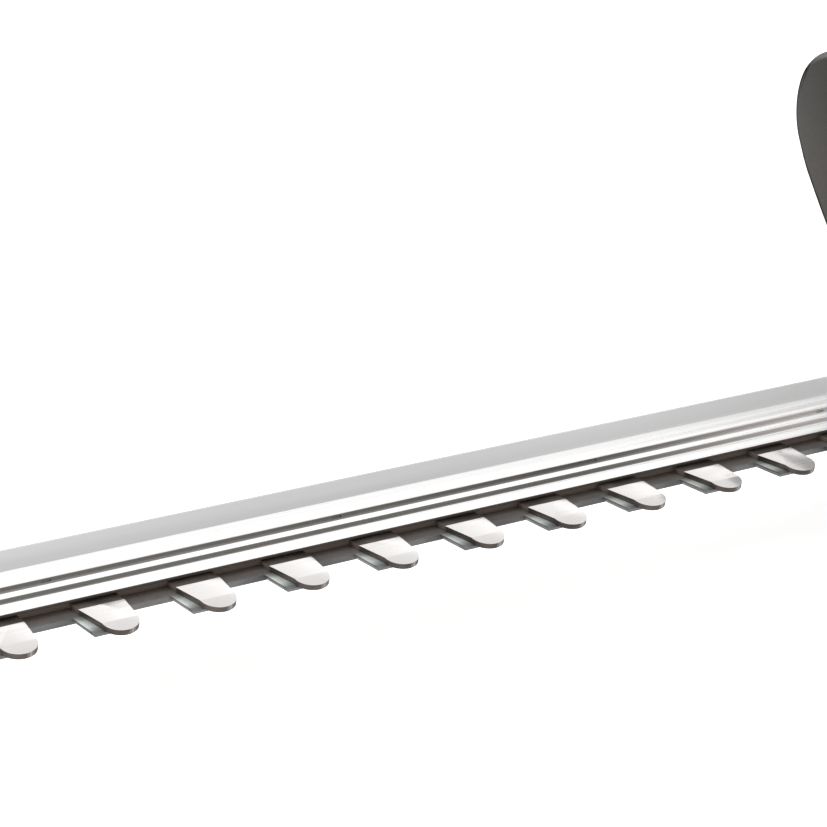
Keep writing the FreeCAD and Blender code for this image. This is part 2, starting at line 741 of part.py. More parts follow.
def crank_drive():
    """Motor pinion, crank gear on its bush and shaft, crank pin and roller."""
    low = number("gear_bottom")
    thick = number("gear_thick")
    gap = number("running_gap")
    crank = number("stroke") / 2
    teeth = int(number("gear_teeth"))
    gear = gear_solid(teeth, 0.75, 0.0, thick, 8.0)
    for k in range(6):
        angle = math.pi * (k + 0.5) / 3
        gear = gear.cut(Part.makeCylinder(4.0, thick, V(19.5 * math.cos(angle), 19.5 * math.sin(angle), 0)))
    gear = gear.cut(Part.makeCylinder(3.0, thick, V(crank, 0, 0)))
    from_shape("crank_gear", gear, z=low)
    bush = turned(8.0, thick, 5.0 + gap)
    from_shape("gear_bush", bush, z=low)
    shaft = turned(5.0, number("box_top") - low + 0.4)
    collar = Part.makeCylinder(6.2, 0.9)
    shaft = shaft.fuse(collar).removeSplitter()
    from_shape("gear_shaft", shaft, z=low - 1.0)
    pin = Part.makeCylinder(3.0, thick + 5.4)
    pin = pin.fuse(Part.makeCylinder(4.6, 0.9)).removeSplitter()
    from_shape("crank_pin", pin, x=crank, z=low - 5.4)
    roller = turned(number("roller_radius"), 3.3, 3.02)
    from_shape("crank_roller", roller, x=crank, z=low - 4.4)
    pinion_teeth = int(number("pinion_teeth"))
    pinion = gear_solid(pinion_teeth, 1.0, math.pi / pinion_teeth, thick + 1, 2.5)
    from_shape("motor_pinion", pinion, x=number(GEAR_X), z=low - 0.5)


def motor():
    """Brushed motor: can, end cap, magnets, bearings, armature and its shaft."""
    x = number(GEAR_X)
    low = number("motor_bottom")
    high = number("motor_top")
    radius = number("motor_radius")
    wall = number("motor_wall")
    can = turned(radius, high - low - 6, radius - wall)
    floor = turned(radius, 2.0, 8.0)
    can = can.fuse(floor).removeSplitter()
    from_shape("motor_can", can, x, z=low)
    cap = turned(radius, 6.0, 6.0)
    rim = [edge for edge in cap.Edges if abs(edge.CenterOfMass.z - 6) < 0.01 and edge.Length > 60]
    cap = cap.makeFillet(1.5, rim)
    from_shape("motor_end_cap", cap, x, z=high - 6)
    ring = turned(radius - wall - 0.05, 30, radius - wall - 4)
    slit = Part.makeBox(60, 8, 40, V(-30, -4, -2))
    halves = ring.cut(slit).Solids
    from_shape("motor_magnets", Part.makeCompound(halves), x, z=low + 6)
    plate = turned(27.0, 2.9, 12.0)
    for k in range(4):
        angle = math.pi * (k + 0.5) / 2
        hole = Part.makeCylinder(1.7, 3, V(24.2 * math.cos(angle), 24.2 * math.sin(angle), 0))
        plate = plate.cut(hole)
    from_shape("motor_plate", plate, x, z=number("box_top"))
    bearing = turned(7.9, 3.9, 2.52)
    upper = turned(5.9, 3.9, 2.52)
    upper.translate(V(0, 0, high - 5 - low))
    from_shape("motor_bearings", Part.makeCompound([bearing, upper]), x, z=low)
    stack = turned(14.0, 30, 2.5)
    for k in range(8):
        angle = math.pi * k / 4
        slot = Part.makeBox(5, 1.6, 30, V(9.5, -0.8, 0))
        slot.rotate(V(0, 0, 0), V(0, 0, 1), math.degrees(angle))
        stack = stack.cut(slot)
    from_shape("motor_armature", stack, x, z=low + 6)
    commutator = turned(5.5, 7.5, 2.5)
    from_shape("motor_commutator", commutator, x, z=low + 36.6)
    shaft = turned(2.5, high - number("gear_bottom") + 0.7)
    from_shape("motor_shaft", shaft, x, z=number("gear_bottom") - 0.7)


def gearbox_fasteners():
    """Screws that clamp the bar's root, close the gearbox and hold the motor plate."""
    rows = [number(y) for y in ROOT_ROWS]
    root = screw(4.2, 4.0, number("stud_radius") - 0.3, 28.0)
    places = [(number("root_screw_x"), y, 16.0) for y in rows]
    group("bar_root_screws", root, places, V(0, 0, -1))
    x = number(GEAR_X)
    small = screw(2.6, 1.8, 1.6, 8.0)
    angles = [math.pi * (k + 0.5) / 2 for k in range(4)]
    level = number("box_top") + 2.9
    ring = [(x + 24.2 * math.cos(angle), 24.2 * math.sin(angle), level) for angle in angles]
    group("motor_plate_screws", small, ring)
    closing = screw(3.4, 3.0, 2.0, 36.0)
    group("gearbox_screws", closing, [(px, py, number("foot_thick")) for px, py in BOX_SCREWS], V(0, 0, -1))


# ---------------------------------------------------------------- housing
FLOOR_SCREWS = [("-28", "18"), ("2", "26")]
GUARD_SCREWS = [("20", "64"), ("20", "80")]
SHELL_SCREWS = [
    ("-34", "78", "body_half"),
    ("4", "108", "body_half"),
    ("96", "112", "body_half"),
    ("84", "34", "body_half"),
    ("176", "41", "grip_half"),
    ("222", "123", "grip_half"),
    ("250", "66", "dock_half"),
    ("292", "92", "dock_half"),
]


HUMP_CORNERS = [(-34, 96, "14"), (2, 120, "30"), (72, 128, "30"), (112, 124, "16"), (126, 104, "12"),
                (104, 20, "12"), (66, 20, "8")]
LOOP_CORNERS = [(202, 26, "14"), (236, 132, "16"), (136, 54, "8"), (200, 56, "12"), (224, 74, "12"),
                (230, 100, "9")]
DOCK_CORNERS = [(308, 88, "16"), (284, 112, "22"), (252, 118, "9")]


def housing_blank():
    """The left half before its bosses: motor hump, D handle and battery dock, open at y = 0."""
    body = new_plain_body("housing_blank")
    hump = new_sketch(body, "XZ_Plane")
    add_polygon(hump, [
        ("shell_front_x", "shell_base"), ("66", "shell_base"), ("66", "20"), ("104", "20"),
        ("124", "46"), ("126", "104"), ("112", "124"), ("72", "128"), ("2", "120"),
        ("-34", "96"), ("shell_front_x", "84"),
    ])
    solid = pad(body, hump, "body_half", backwards=True)
    round_corners(body, solid, HUMP_CORNERS)
    loop = new_sketch(body, "XZ_Plane")
    add_polygon(loop, [
        ("100", "22"), ("202", "26"), ("213", "54"), ("262", "56"), ("262", "112"), ("236", "132"),
        ("150", "140"), ("100", "126"),
    ])
    add_polygon(loop, [
        ("136", "54"), ("200", "56"), ("224", "74"), ("230", "100"), ("150", "106"), ("138", "98"),
    ])
    solid = pad(body, loop, "grip_half", backwards=True)
    round_corners(body, solid, LOOP_CORNERS)
    dock = new_sketch(body, "XZ_Plane")
    add_polygon(dock, [
        ("222", "54"), ("308", "54"), ("308", "88"), ("284", "112"), ("252", "118"), ("238", "84"),
    ])
    solid = pad(body, dock, "dock_half", backwards=True)
    solid = round_corners(body, solid, DOCK_CORNERS)
    open_faces = []
    for index, face in enumerate(solid.Shape.Faces, start=1):
        if abs(face.CenterOfMass.y) < 0.01:
            open_faces.append("Face%d" % index)
    hollow = body.newObject("PartDesign::Thickness", "housing_hollow")
    hollow.Base = (solid, open_faces)
    hollow.Join = 1
    hollow.Reversed = True
    hollow.Value = number("shell_wall")
    bind(hollow, "Value", "shell_wall")
    body.Tip = hollow
    doc.recompute()
    hump_half = number("body_half")
    dock_half = number("dock_half")
    grip_half = number("grip_half")
    rims = edges_of(hollow, lambda p, e: outer_rim(p, e, hump_half))
    rounded = fillet(body, hollow, rims, "shell_round")
    rims = edges_of(rounded, lambda p, e: outer_rim(p, e, dock_half))
    rounded = fillet(body, rounded, rims, "shell_round")
    rims = edges_of(rounded, lambda p, e: outer_rim(p, e, grip_half) and on_grip(p))
    fillet(body, rounded, rims, "shell_round")
    return body


def round_corners(body, feature, corners):
    """Round the edges that run along Y at the given places, each (x, z, radius)."""
    for x, z, radius in corners:
        spot = V(x, 0, z)
        names = edges_of(feature, lambda p, e: runs_across(p, e, spot))
        feature = fillet(body, feature, names, radius)
    return feature


def runs_across(point, edge, spot):
    """True on the straight edge that runs along Y through a place."""
    ends = [vertex.Point for vertex in edge.Vertexes]
    along = len(ends) == 2 and (ends[0] - ends[1]).cross(V(0, 1, 0)).Length < 0.001
    return along and V(point.x, 0, point.z).distanceToPoint(spot) < 0.01


def on_grip(point):
    """True on the free stretches of the D handle, clear of the hump and the dock."""
    low_bar = point.z < 60 and point.x < 203
    return 126.5 < point.x < 229.5 and (low_bar or point.z > 60)


def outer_rim(point, edge, width):
    """True on the outward edges of the flat side of a housing half at one width."""
    ends = [vertex.Point.y for vertex in edge.Vertexes]
    flat = len(ends) == 2 and abs(ends[0] - ends[1]) < 0.01
    return flat and abs(abs(point.y) - width) < 0.01


def shell_openings(name, side):
    """Cutters shared by both halves: vents, trigger window, hatch, motor mouth and screw holes."""
    vent_low = "30" if side > 0 else "-38"
    tools = [box("%s_vent_%d" % (name, k), "40", "70", vent_low, vent_low + " + 8",
                 "%d" % (78 + 6 * k), "%d + 2.8" % (78 + 6 * k)) for k in range(6)]
    tools.append(box(name + "_window", "150", "173", "-5.2", "5.2", "96", "110"))
    tools.append(box(name + "_hatch", "129", "147", "-6.2", "6.2", "128", "142"))
    tools.append(cylinder(name + "_mouth", "box_rear_radius + 1", "4", GEAR_X, "0", "shell_base - 1"))
    tools.append(cylinder(name + "_bolt", "2.55", "80", "bail_x", "-40", "bail_boss_z", along="y"))
    for k, (x, y) in enumerate(FLOOR_SCREWS):
        across = "%d * %s" % (side, y)
        tools.append(cylinder("%s_floor_%d" % (name, k), "2.1", "4", x, across, "shell_base - 1"))
    for k, (y, z) in enumerate(GUARD_SCREWS):
        tools.append(cylinder("%s_front_%d" % (name, k), "1.95", "4", "shell_front_x - 1",
                              "%d * %s" % (side, y), z, along="x"))
    return tools


def housing():
    """Clamshell halves: blind screw bosses on the left, counterbored ones on the right."""
    blank = housing_blank()
    mirrored = doc.addObject("Part::Mirroring", "housing_blank_right")
    mirrored.Source = blank
    mirrored.Normal = V(0, 1, 0)
    bosses = {1: [], -1: []}
    cutters = {1: shell_openings("left", 1), -1: shell_openings("right", -1)}
    for x, z, width in SHELL_SCREWS:
        outside = "-1 - " + width
        bosses[1].append(cylinder("left_boss", "4.5", width + " - 1", x, "0", z, along="y"))
        bosses[-1].append(cylinder("right_boss", "4.5", width + " - 1", x, "1 - " + width, z, along="y"))
        cutters[1].append(cylinder("left_bore", "1.7", width + " - 3", x, "-1", z, along="y"))
        cutters[-1].append(cylinder("right_bore", "1.7", width + " + 2", x, outside, z, along="y"))
        cutters[-1].append(cylinder("right_seat", "3.3", "4", x, outside, z, along="y"))
    for label, side, shell in (("housing_left", 1, blank), ("housing_right", -1, mirrored)):
        bossed = fuse(label + "_bossed", [shell] + bosses[side])
        keep(cut(label, bossed, cutters[side]), label)
    fixing = screw(3.1, 2.2, 1.66, 10.0)
    places = []
    for x, z, width in SHELL_SCREWS:
        places.append((number(x), 3 - number(width), number(z)))
    group("housing_screws", fixing, places, V(0, -1, 0))
    level = number("shell_base + shell_wall") + 0.1
    spots = [(number(x), side * number(y), level) for x, y in FLOOR_SCREWS for side in (1, -1)]
    group("floor_screws", screw(3.4, 2.4, 2.0, 8.0), spots)


def hand_guard():
    """Upright shield in front of the front handle, gently bent round the hand."""
    outline = new_plain_body("guard_outline")
    front = new_sketch(outline, "YZ_Plane", "-70")
    half = [("66.8", "144", "38"), ("84.6", "130.2", "21.5"), ("84.2", "113", "20"),
            ("74.8", "99.5", "50"), ("44", "68.5", "30"), ("32", "46", "")]
    arch = [("29", "46"), ("29", "57"), ("-29", "57"), ("-29", "46")]
    right = [(y, z) for y, z, radius in half]
    left = [("-" + y, z) for y, z, radius in reversed(half)]
    add_polygon(front, [("0", "149")] + right + arch + left)
    rounded = pad(outline, front, "60")
    for y, z, radius in half[:-1]:
        corner = V(0, number(y), number(z))
        names = edges_of(rounded, lambda p, e: at_corner(p, corner))
        rounded = fillet(outline, rounded, names, radius)
    centre_x = "guard_face_x + guard_bend_radius"
    sheet_outer = cylinder("guard_sheet_outer", "guard_bend_radius", "160", centre_x, "0", "20")
    inner_radius = "guard_bend_radius - guard_thick"
    sheet_inner = cylinder("guard_sheet_inner", inner_radius, "162", centre_x, "0", "19")
    curved = cut("guard_sheet", sheet_outer, [sheet_inner])
    plate = doc.addObject("Part::Common", "guard_plate")
    plate.Base = outline
    plate.Tool = curved
    spots = [(sign + y, z) for y, z in GUARD_SCREWS for sign in ("-", "")]
    bosses = []
    holes = []
    for y, z in spots:
        bosses.append(cylinder("guard_boss", "5", "4", "shell_front_x - 4.1", y, z, along="x"))
        holes.append(cylinder("guard_hole", "1.95", "20", "shell_front_x - 14", y, z, along="x"))
    blank = fuse("guard_blank", [plate] + bosses)
    keep(cut("hand_guard", blank, holes), "hand_guard")
    fixing = screw(4.2, 2.4, 1.9, 9.5)
    front_x = number("guard_face_x") + 0.65
    places = [(front_x, number(y), number(z)) for y, z in spots]
    group("guard_screws", fixing, places, V(-1, 0, 0))


def at_corner(point, corner):
    """True half way along the X edges at a corner and at its mirror image in Y."""
    aside = abs(abs(point.y) - corner.y)
    return aside < 0.01 and abs(point.z - corner.z) < 0.01 and abs(point.x + 40) < 0.01


def new_plain_body(name):
    return doc.addObject("PartDesign::Body", name)


def front_handle():
    """Bail handle over the motor, with its switch bar behind it."""
    body = new_body("front_handle")
    spine = new_sketch(body, "YZ_Plane", "bail_x")
    half = number("bail_half")
    level = number("bail_arc_z")
    low = number("bail_boss_z")
    left_leg = spine.addGeometry(Part.LineSegment(V(-half, low, 0), V(-half, level, 0)), False)
    ring = Part.Circle(V(0, level, 0), V(0, 0, 1), half)
    arc = spine.addGeometry(Part.ArcOfCircle(ring, 0, math.pi), False)
    right_leg = spine.addGeometry(Part.LineSegment(V(half, level, 0), V(half, low, 0)), False)
    pin_point(spine, left_leg, 1, ("-bail_half", "bail_boss_z"))
    pin_point(spine, left_leg, 2, ("-bail_half", "bail_arc_z"))
    pin_point(spine, right_leg, 1, ("bail_half", "bail_arc_z"))
    pin_point(spine, right_leg, 2, ("bail_half", "bail_boss_z"))
    spine.addConstraint(Sketcher.Constraint("Coincident", left_leg, 2, arc, 2))
    spine.addConstraint(Sketcher.Constraint("Coincident", right_leg, 1, arc, 1))
    rule = spine.addConstraint(Sketcher.Constraint("DistanceY", -1, 1, arc, 3, level))
    bind(spine, "Constraints[%d]" % rule, "bail_arc_z")
    section = new_sketch(body, "XY_Plane", "bail_boss_z")
    add_circle(section, "bail_x", "-bail_half", "bail_radius")
    pipe = body.newObject("PartDesign::AdditivePipe", "bail_pipe")
    pipe.Profile = section
    pipe.Spine = spine
    doc.recompute()
    for start in ("bail_half", "-body_half"):
        boss = new_sketch(body, "XZ_Plane", start)
        add_circle(boss, "bail_x", "bail_boss_z", "bail_radius + 1")
        pad(body, boss, "bail_half - body_half", backwards=True)
    beyond = "(bail_half + bail_radius + 4)"
    bolts = new_sketch(body, "XZ_Plane", "-" + beyond)
    add_circle(bolts, "bail_x", "bail_boss_z", "2.55")
    pocket(body, bolts, "2 * " + beyond, backwards=True)
    for offset, backwards in (("-" + beyond, True), (beyond, False)):
        seat = new_sketch(body, "XZ_Plane", offset)
        add_circle(seat, "bail_x", "bail_boss_z", "4.8")
        pocket(body, seat, "8.5", backwards=backwards)
    guide = new_sketch(body, "YZ_Plane", "bail_x - 3")
    for y in ("-26", "26"):
        add_circle(guide, y, "bail_arc_z + sqrt(bail_half * bail_half - 676)", "2.55")
    pocket(body, guide, "30", backwards=True)


def front_switch_bar():
    """Curved bar pressed against the handle; two guide pins run in the handle."""
    body = new_body("front_switch_bar")
    back = "bail_x + bail_radius + 4.2"
    plan = new_sketch(body, "YZ_Plane", back)
    outer = "bail_half + 4"
    level = "bail_arc_z"
    add_circle(plan, "0", level, outer)
    add_circle(plan, "0", level, "bail_half - 5")
    pad(body, plan, "6.5")
    cutoff = new_sketch(body, "YZ_Plane", back + " - 1")
    add_polygon(cutoff, [("-80", "bail_arc_z - 80"), ("80", "bail_arc_z - 80"), ("80", "bail_arc_z + 22"),
                         ("-80", "bail_arc_z + 22")])
    pocket(body, cutoff, "10", backwards=True)
    rims = edges_of(body.Tip, lambda p, e: e.Length > 30)
    fillet(body, body.Tip, rims, "1.8")
    pins = new_sketch(body, "YZ_Plane", "bail_x + 2")
    for y in ("-26", "26"):
        add_circle(pins, y, "bail_arc_z + sqrt(bail_half * bail_half - 676)", "2.5")
    pad(body, pins, "bail_radius + 3")


def handle_fasteners():
    """Bolts that hold the bail to the housing's sides."""
    bolt = screw(4.6, 4.0, 2.5, 32.0)
    x = number("bail_x")
    z = number("bail_boss_z")
    side = number("bail_half") + number("bail_radius") - 4.0
    group("bail_bolt_left", bolt, [(x, side, z)], V(0, 1, 0))
    group("bail_bolt_right", bolt, [(x, -side, z)], V(0, -1, 0))


# ---------------------------------------------------------------- controls
def controls():
    """Trigger on its pin, lock-off button, switch and control board."""
    trigger = new_body("trigger")
    side = new_sketch(trigger, "XZ_Plane")
    add_polygon(side, [
        ("trigger_pivot_x + 6", "trigger_pivot_z + 3"), ("trigger_pivot_x + 13", "104"), ("153", "96"),
        ("156", "88"), ("164", "85"), ("169", "90"), ("170.5", "108"), ("166", "116"),
        ("trigger_pivot_x + 6", "trigger_pivot_z + 5"),
    ])
    lever = pad(trigger, side, "9.2", midplane=True)
    rims = edges_of(lever, lambda p, e: p.z < 100 and abs(abs(p.y) - 4.6) < 0.01)
    fillet(trigger, lever, rims, "2")
    eye = new_sketch(trigger, "XZ_Plane")
    add_circle(eye, "trigger_pivot_x + 6", "trigger_pivot_z + 2", "4")
    pad(trigger, eye, "9.2", midplane=True)
    hole = new_sketch(trigger, "XZ_Plane", "-10")
    add_circle(hole, "trigger_pivot_x + 6", "trigger_pivot_z + 2", "1.55")
    pocket(trigger, hole, "20", backwards=True)
    pivot_x = number("trigger_pivot_x") + 6
    pivot_z = number("trigger_pivot_z") + 2
    reach = number("grip_half - shell_wall") - 0.1
    pin = turned(1.5, 2 * reach)
    group("trigger_pin", pin, [(pivot_x, -reach, pivot_z)], V(0, 1, 0))
    button = new_body("lock_off_button")
    plan = new_sketch(button, "XY_Plane", "126")
    add_polygon(plan, rectangle("130", "146", "-5.5", "5.5"))
    cap = pad(button, plan, "16")
    rims = edges_of(cap, lambda p, e: abs(p.z - 142) < 0.01)
    fillet(button, cap, rims, "2")
    flange = new_sketch(button, "XY_Plane", "126")
    add_polygon(flange, rectangle("127", "149", "-8", "8"))
    pad(button, flange, "2.5")
    box("main_switch", "176", "196", "-6", "6", "108", "122")
    keep(doc.getObject("main_switch"), "main_switch")
    box("control_board", "246", "300", "-28", "28", "72", "73.6")
    keep(doc.getObject("control_board"), "control_board")


# ---------------------------------------------------------------- battery
def battery():
    """Slide-on battery: two-part case, cells, board and a sprung latch; the dock holds it."""
    dock = fuse("dock_fused", [
        box("dock_stem", "224", "304", "-18", "18", "46", "53.8"),
        box("dock_flange", "224", "304", "-24", "24", "42", "46.5"),
    ])
    keep(dock, "battery_dock")
    blades = doc.addObject("Part::MultiFuse", "terminal_blades")
    blades.Shapes = [box("terminal_%d" % k, "227", "245", "%d" % y, "%d + 0.8" % y, "36", "42")
                     for k, y in enumerate((-12, 0, 12))]
    keep(blades, "terminal_blades")
    plan = ("pack_front_x", "pack_rear_x", "-pack_half", "pack_half")
    sides = ("-pack_half + pack_wall", "pack_half - pack_wall")
    top = cut("pack_top_cut", box("pack_top_block", *plan, "28", "pack_top"), [
        box("pack_stem_slot", "pack_front_x - 1", "305", "-18.6", "18.6", "45", "pack_top + 1"),
        box("pack_flange_slot", "pack_front_x - 1", "305", "-24.6", "24.6", "41.4", "47.1"),
        box("pack_terminal_slot", "pack_front_x - 1", "248", "-16", "16", "33", "42"),
        box("pack_latch_room", "pack_rear_x - 5", "pack_rear_x + 1", "-14.5", "14.5", "40.6", "49.4"),
        box("pack_top_room", "251", "pack_rear_x - pack_wall", *sides, "27", "39"),
    ])
    corner = round_edges("battery_case_top", top, "4", pack_corner)
    keep(corner, "battery_case_top")
    low = cut("pack_low_cut", box("pack_low_block", *plan, "0", "27.9"), [
        box("pack_low_room", "pack_front_x + pack_wall", "pack_rear_x - pack_wall", *sides,
            "pack_wall", "29"),
    ])
    bottom = round_edges("battery_case_bottom", low, "4", pack_corner)
    keep(bottom, "battery_case_bottom")
    cell = turned(number("cell_radius"), number("cell_length"))
    spacing = 2 * number("cell_radius") + 0.3
    first = number("pack_front_x + pack_wall + cell_radius") + 0.2
    half = number("cell_length") / 2
    rows = [(first + spacing * k, -half, 12.0) for k in range(int(number("cell_count")))]
    group("battery_cells", cell, rows, V(0, 1, 0))
    box("battery_board", "254", "306", "-30", "30", "29", "30.6")
    keep(doc.getObject("battery_board"), "battery_board")
    latch = new_body("battery_latch")
    plan = new_sketch(latch, "XY_Plane", "41")
    add_polygon(plan, rectangle("pack_rear_x - 2", "pack_rear_x + 4", "-14", "14"))
    button = pad(latch, plan, "8")
    rims = edges_of(button, lambda p, e: p.x > number("pack_rear_x") + 3.9)
    fillet(latch, button, rims, "1.5")


def pack_corner(point, edge):
    """True on the four upright corners of the battery case."""
    upright = edge.Length > 15 and abs(edge.Vertexes[0].Point.z - edge.Vertexes[-1].Point.z) > 15
    at_side = abs(abs(point.y) - number("pack_half")) < 0.01
    at_end = min(abs(point.x - number("pack_front_x")), abs(point.x - number("pack_rear_x"))) < 0.01
    return upright and at_side and at_end


# ---------------------------------------------------------------- run
def check_and_export():
    """Stop on any failed object or bad shape, then write one STEP file per node."""
    doc.recompute()
    failed = [item.Label for item in doc.Objects if "Invalid" in item.State or "Error" in item.State]
    if failed:
        raise RuntimeError("objects failed: " + ", ".join(failed))
    for node in NODES:
        if node.Shape.isNull() or not node.Shape.isValid():
            raise RuntimeError("bad shape: " + node.Label)
    os.makedirs("parts", exist_ok=True)
    for node in NODES:
        node.Shape.exportStep("parts/%s.step" % node.Label)
        print("%-22s %d solids, %.0f mm3" % (node.Label, len(node.Shape.Solids), node.Shape.Volume))


cover_rail()
rail_seal()
guard_comb()
cutter_blade()
support_bar()
bar_fasteners()
tip_protector()
gearbox()
crank_drive()
motor()
gearbox_fasteners()
housing()
hand_guard()
front_handle()
front_switch_bar()
handle_fasteners()
controls()
battery()
check_and_export()
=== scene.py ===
"""Looks of the single-sided hedge trimmer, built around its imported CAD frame."""
import bmesh
import bpy
import json
import math
from mathutils import Matrix, Vector


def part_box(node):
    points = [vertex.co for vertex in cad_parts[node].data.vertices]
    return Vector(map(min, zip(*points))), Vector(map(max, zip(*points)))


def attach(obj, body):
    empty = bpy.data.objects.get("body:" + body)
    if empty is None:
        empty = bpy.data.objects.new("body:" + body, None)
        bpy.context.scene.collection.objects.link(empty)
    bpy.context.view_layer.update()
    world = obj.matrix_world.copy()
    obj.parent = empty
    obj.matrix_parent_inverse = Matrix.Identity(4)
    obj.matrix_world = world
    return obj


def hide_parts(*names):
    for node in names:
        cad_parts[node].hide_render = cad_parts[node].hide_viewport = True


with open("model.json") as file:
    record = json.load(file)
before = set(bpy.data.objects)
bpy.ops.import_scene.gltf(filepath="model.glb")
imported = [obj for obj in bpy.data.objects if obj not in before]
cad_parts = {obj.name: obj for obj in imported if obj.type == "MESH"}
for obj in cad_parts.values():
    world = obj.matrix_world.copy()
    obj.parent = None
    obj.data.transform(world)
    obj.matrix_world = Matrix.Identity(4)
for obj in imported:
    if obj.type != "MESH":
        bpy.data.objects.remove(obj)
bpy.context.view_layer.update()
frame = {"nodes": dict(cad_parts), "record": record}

BODY_OF = {
    node: body
    for body, nodes in frame["record"]["behaviour"]["bodies"].items()
    for node in nodes
}
SLOT_OF = {entry["node"]: entry["material_slot"] for entry in frame["record"]["subparts"]}

# ---------------------------------------------------------------- places on the object, in metres
MM = 0.001
COMB_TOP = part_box("guard_comb")[1].z
COMB_STRIP_FRONT_Y = -15.0 * MM
COMB_GROUND_Y = -20.8 * MM          # the comb teeth are ground bright ahead of this line
COMB_BEND_Y = -32.9 * MM
TOOTH_PITCH = 30 * MM
FIRST_TOOTH_X = -70 * MM
BLADE_ROOT_Y = -22.1 * MM
BLADE_RELIEF_Y = -32.5 * MM         # the blade teeth are ground lower ahead of this line
BLADE_FLANK_SLOPE = -0.057
BLADE_FLANK_X = -10.86 * MM         # from a comb tooth's middle, at y = 0
RAIL_TOP = COMB_TOP + 1.6 * MM
RAIL_LIP_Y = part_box("cover_rail")[0].y
RAIL_BACK_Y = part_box("cover_rail")[1].y
RAIL_FLANGE_Y = RAIL_BACK_Y - 6.0 * MM
RAIL_GROOVES_END_Y = 3.2 * MM
GRIP_START_X, GRIP_END_X = 176 * MM, 226 * MM
GUARD_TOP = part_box("hand_guard")[1].z


# ---------------------------------------------------------------- node helpers
class Graph:
    """A material's node tree with short calls for the nodes that the materials share."""

    # Places of the colour sockets on a Mix node, whose socket names repeat for every type.
    MIX_A, MIX_B, MIX_RESULT = 6, 7, 2

    def __init__(self, name):
        self.material = bpy.data.materials.new(name)
        self.material.use_nodes = True
        self.tree = self.material.node_tree
        self.shader = self.tree.nodes["Principled BSDF"]
        self.place = self.node("ShaderNodeTexCoord").outputs["Object"]

    def node(self, kind, **values):
        node = self.tree.nodes.new(kind)
        for key, value in values.items():
            setattr(node, key, value)
        return node

    def link(self, source, target):
        self.tree.links.new(source, target)

    def feed(self, value, socket):
        """Connect a socket, or set a constant."""
        if isinstance(value, bpy.types.NodeSocket):
            self.link(value, socket)
        else:
            socket.default_value = value

    def math(self, operation, a, b=0.0):
        node = self.node("ShaderNodeMath", operation=operation)
        self.feed(a, node.inputs[0])
        self.feed(b, node.inputs[1])
        return node.outputs[0]

    def plus(self, a, b):
        return self.math("ADD", a, b)

    def minus(self, a, b):
        return self.math("SUBTRACT", a, b)

    def times(self, a, b):
        return self.math("MULTIPLY", a, b)

    def noise(self, scale, detail=3.0, stretch=(1, 1, 1), rough=0.5):
        """Noise over object coordinates that are first scaled per axis."""
        mapping = self.node("ShaderNodeMapping")
        self.link(self.place, mapping.inputs["Vector"])
        mapping.inputs["Scale"].default_value = stretch
        node = self.node("ShaderNodeTexNoise")
        self.link(mapping.outputs[0], node.inputs["Vector"])
        node.inputs["Scale"].default_value = scale
        node.inputs["Detail"].default_value = detail
        node.inputs["Roughness"].default_value = rough
        return node.outputs["Fac"]

    def span(self, value, low, high, out_low=0.0, out_high=1.0):
        """Map a value smoothly from low..high to out_low..out_high."""
        node = self.node("ShaderNodeMapRange", interpolation_type="SMOOTHSTEP")
        self.feed(value, node.inputs["Value"])
        node.inputs["From Min"].default_value = low
        node.inputs["From Max"].default_value = high
        node.inputs["To Min"].default_value = out_low
        node.inputs["To Max"].default_value = out_high
        return node.outputs["Result"]

    def fall(self, value, low, high):
        """1 below low, 0 above high."""
        return self.span(value, low, high, 1.0, 0.0)

    def band(self, value, low, high, edge):
        """1 between low and high, 0 outside, with soft edges."""
        rise = self.span(value, low - edge, low + edge)
        return self.times(rise, self.fall(value, high - edge, high + edge))

    def mix(self, factor, a, b):
        node = self.node("ShaderNodeMix", data_type="RGBA")
        self.feed(factor, node.inputs["Factor"])
        self.feed(a, node.inputs[self.MIX_A])
        self.feed(b, node.inputs[self.MIX_B])
        return node.outputs[self.MIX_RESULT]

    def axes(self):
        """Object coordinates, as x, y and z."""
        node = self.node("ShaderNodeSeparateXYZ")
        self.link(self.place, node.inputs[0])
        return node.outputs

    def facing(self):
        """The surface's normal in object space, as x, y and z."""
        geometry = self.node("ShaderNodeNewGeometry")
        turn = self.node("ShaderNodeVectorTransform", vector_type="NORMAL",
                         convert_from="WORLD", convert_to="OBJECT")
        self.link(geometry.outputs["True Normal"], turn.inputs[0])
        node = self.node("ShaderNodeSeparateXYZ")
        self.link(turn.outputs[0], node.inputs[0])
        return node.outputs

    def bump(self, height, distance, strength=1.0):
        node = self.node("ShaderNodeBump")
        self.feed(height, node.inputs["Height"])
        node.inputs["Distance"].default_value = distance
        node.inputs["Strength"].default_value = strength
        self.link(node.outputs[0], self.shader.inputs["Normal"])

    def paint(self, colour, roughness, metallic=0.0, specular=0.5):
        self.feed(colour, self.shader.inputs["Base Color"])
        self.feed(roughness, self.shader.inputs["Roughness"])
        self.feed(metallic, self.shader.inputs["Metallic"])
        self.feed(specular, self.shader.inputs["Specular IOR Level"])
        return self.material


def rgb(r, g, b):
    return (r, g, b, 1.0)


def scaled(colour, factor, lift=0.0):
    """A colour made lighter or darker, for one step of a material's mottling."""
    return rgb(*[min(1.0, channel * factor + lift) for channel in colour])


